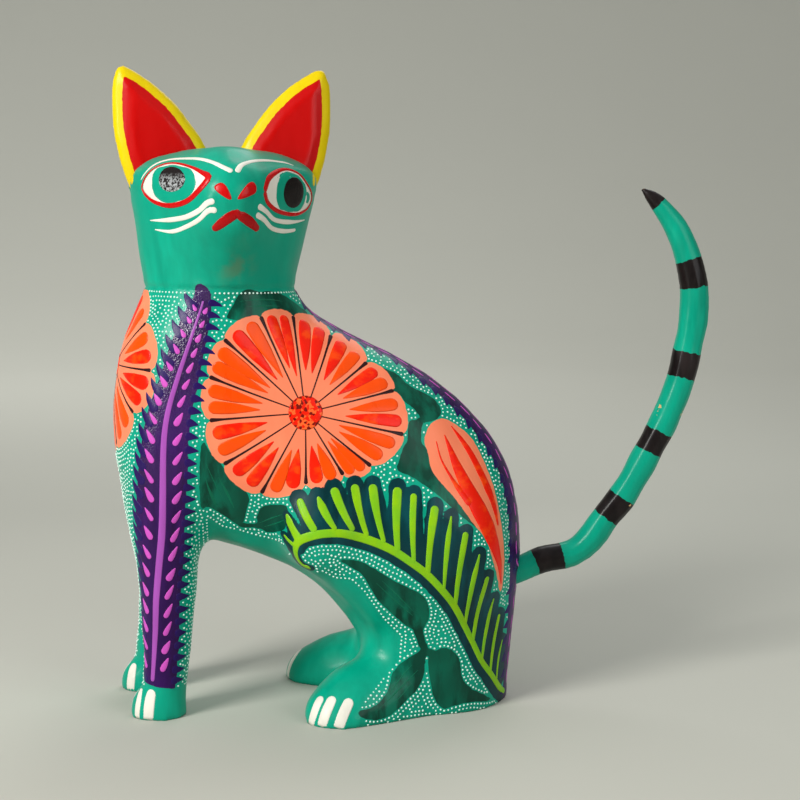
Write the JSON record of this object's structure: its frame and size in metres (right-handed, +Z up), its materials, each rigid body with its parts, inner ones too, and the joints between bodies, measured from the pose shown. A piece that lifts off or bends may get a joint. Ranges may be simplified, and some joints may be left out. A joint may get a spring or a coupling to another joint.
{
  "type": "carved wooden cat figurine",
  "caption": "Seated cat carved in painted wood, with a sawn flat base, its head turned to one side, tall pointed ears and a slender upswept tail.",
  "frame": {"origin": "centre of the bounding box's footprint, on the ground plane", "axes": "+Z up; the cat's chest faces -X and its tail stands at +X; its head is turned to look along -Y, over its left side"},
  "size_m": [0.1672, 0.0606, 0.1757],
  "materials": {
    "body_paint": "satin teal acrylic paint over carved wood, with flowers, leaves, feathers and dots painted on it",
    "ear_paint": "satin red acrylic paint with a yellow rim and a teal back",
    "tail_paint": "satin teal acrylic paint with black rings and a black tip, chipped in places"
  },
  "bodies": {
    "root": {"body": "body_paint", "left_ear": "ear_paint", "right_ear": "ear_paint", "tail": "tail_paint"}
  },
  "joints": []
}
